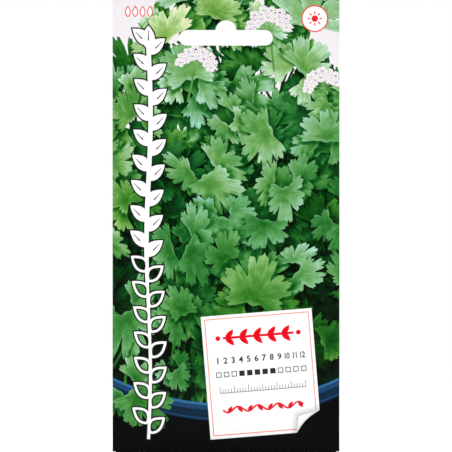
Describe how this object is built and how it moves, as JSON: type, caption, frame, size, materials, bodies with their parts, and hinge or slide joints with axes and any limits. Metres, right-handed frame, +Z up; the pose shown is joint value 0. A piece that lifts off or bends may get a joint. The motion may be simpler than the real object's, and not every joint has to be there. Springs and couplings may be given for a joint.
{
  "type": "seed packet",
  "caption": "Flat folded and glued paper seed packet with a printed front, a euro slot in its glued header and loose round ribbed seeds in its pocket.",
  "frame": {"origin": "the top of the euro slot's hump, where a shop peg bears, in the middle of the header's thickness", "axes": "+X to the right as seen from the printed front, +Y from the front to the back, +Z up along the packet's length"},
  "size_m": [0.08, 0.006, 0.16],
  "materials": {
    "printed_paper": "satin",
    "glue": "satin",
    "seed_husk": "matte"
  },
  "bodies": {
    "root": {"envelope": "printed_paper", "header_glue": "glue", "side_glue": "glue", "flap_glue": "glue", "seed_01": "seed_husk", "seed_02": "seed_husk", "seed_03": "seed_husk", "seed_04": "seed_husk", "seed_05": "seed_husk", "seed_06": "seed_husk", "seed_07": "seed_husk", "seed_08": "seed_husk", "seed_09": "seed_husk", "seed_10": "seed_husk", "seed_11": "seed_husk", "seed_12": "seed_husk", "seed_13": "seed_husk", "seed_14": "seed_husk", "seed_15": "seed_husk", "seed_16": "seed_husk", "seed_17": "seed_husk", "seed_18": "seed_husk", "seed_19": "seed_husk", "seed_20": "seed_husk", "seed_21": "seed_husk", "seed_22": "seed_husk", "seed_23": "seed_husk", "seed_24": "seed_husk", "seed_25": "seed_husk", "seed_26": "seed_husk", "seed_27": "seed_husk", "seed_28": "seed_husk", "seed_29": "seed_husk", "seed_30": "seed_husk", "seed_31": "seed_husk", "seed_32": "seed_husk", "seed_33": "seed_husk", "seed_34": "seed_husk", "seed_35": "seed_husk", "seed_36": "seed_husk", "seed_37": "seed_husk", "seed_38": "seed_husk", "seed_39": "seed_husk", "seed_40": "seed_husk", "seed_41": "seed_husk", "seed_42": "seed_husk", "seed_43": "seed_husk", "seed_44": "seed_husk", "seed_45": "seed_husk"}
  },
  "joints": []
}
